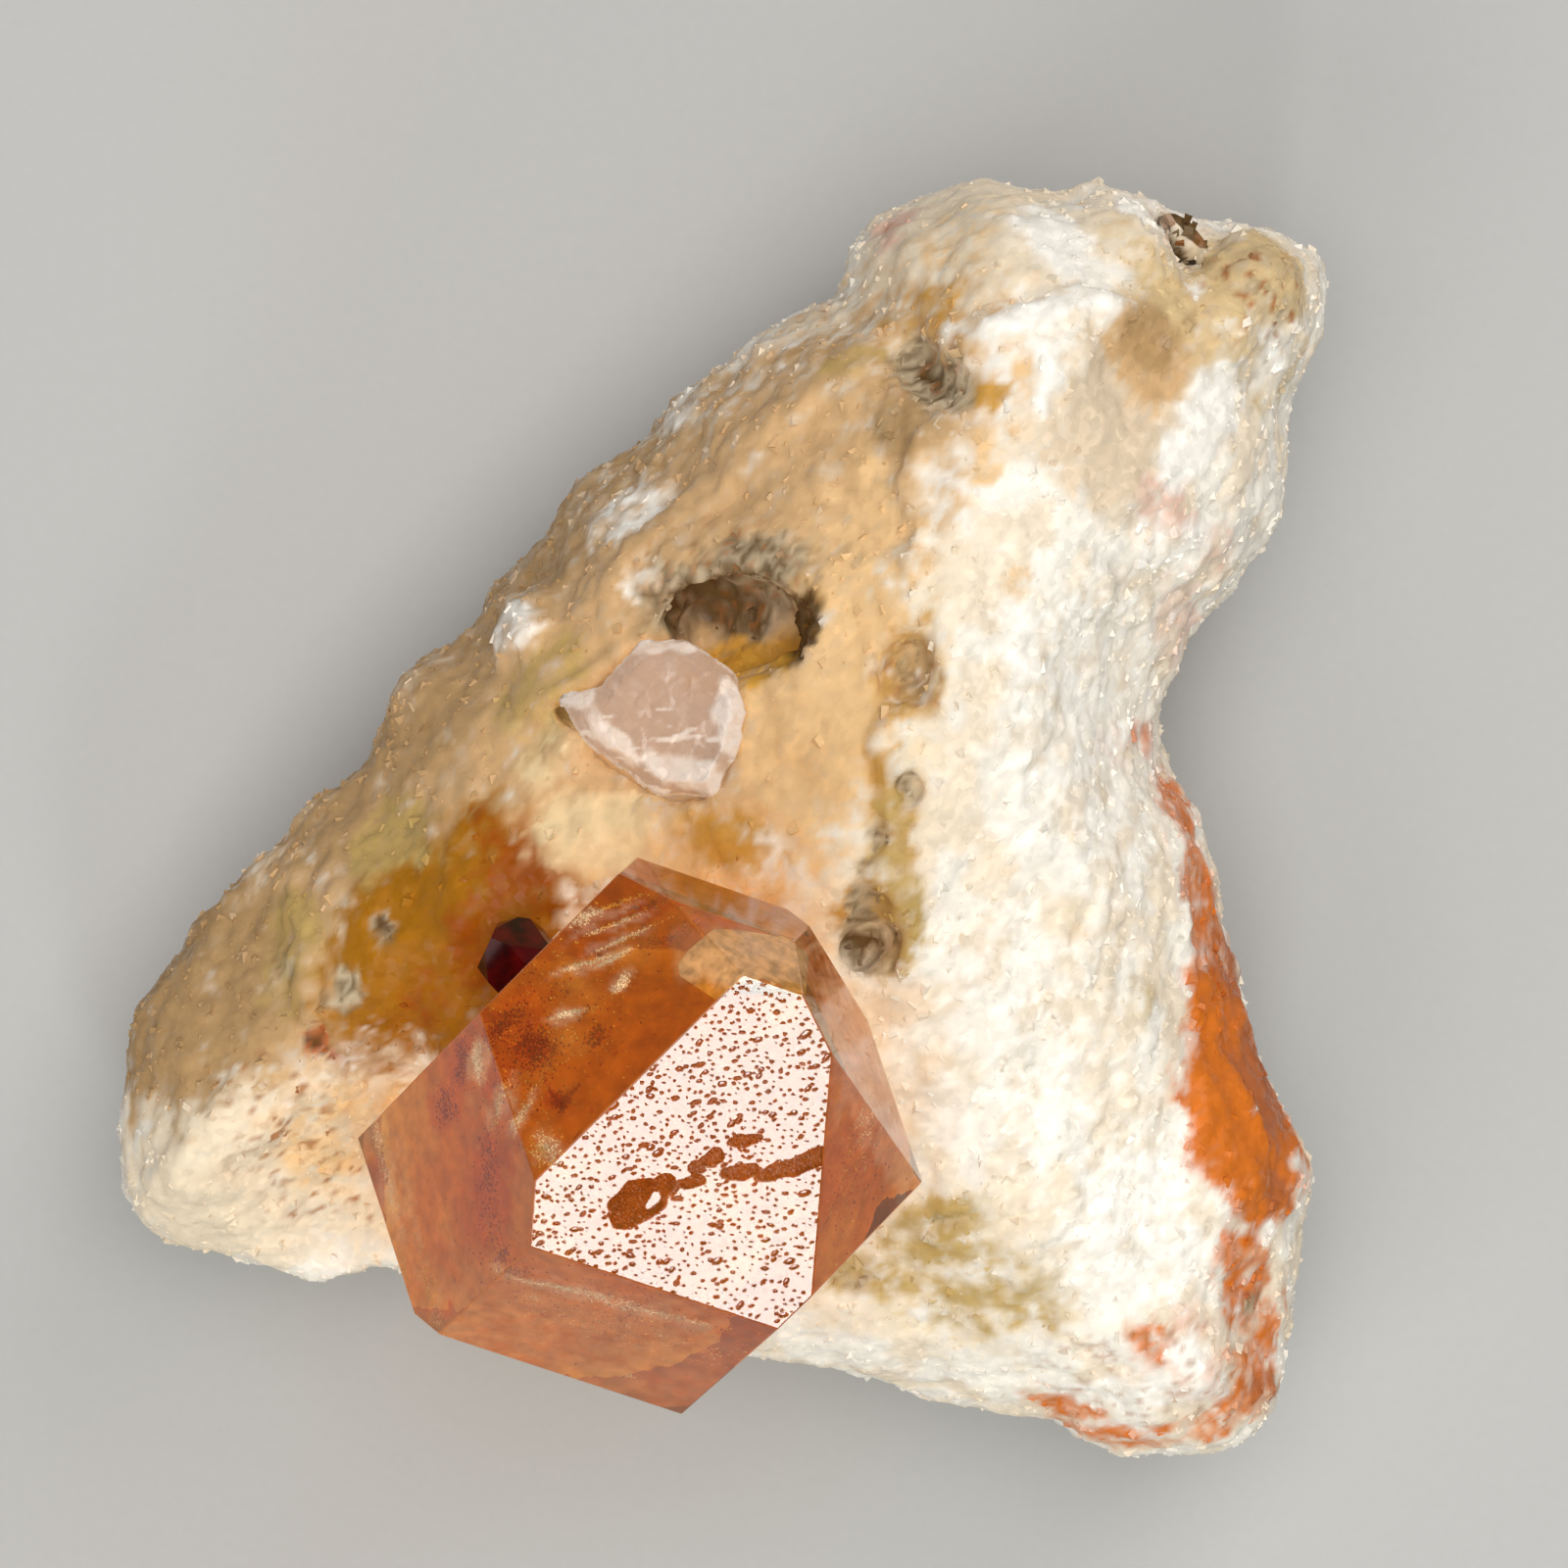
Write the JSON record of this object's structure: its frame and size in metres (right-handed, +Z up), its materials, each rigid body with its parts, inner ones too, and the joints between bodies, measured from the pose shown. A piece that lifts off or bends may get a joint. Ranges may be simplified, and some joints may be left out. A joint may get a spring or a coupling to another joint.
{
  "type": "hematoid quartz specimen",
  "caption": "Orange quartz crystal with flat prism and tip faces, seated in a V-shaped lump of pale granular quartz, lying on its flat underside.",
  "frame": {"origin": "on the ground under the middle of the specimen's base box", "axes": "+Z up, out of the specimen's front; +Y towards the narrow upper end of the matrix, which is the longest way across; +X towards the leg with the rust band"},
  "size_m": [0.0618, 0.0648, 0.044],
  "materials": {
    "massive_quartz": "matt, granular, slightly translucent, with tan, ochre and rust stains",
    "hematoid_quartz": "glossy natural crystal faces, orange see-through body with red and cream inclusions",
    "dark_red_quartz": "glossy, deep red, see-through",
    "clear_quartz": "clear, with a whitish etched rim"
  },
  "bodies": {
    "root": {"matrix": "massive_quartz", "hematoid_quartz_crystal": "hematoid_quartz", "dark_red_crystal": "dark_red_quartz", "clear_quartz_grain": "clear_quartz"}
  },
  "joints": []
}
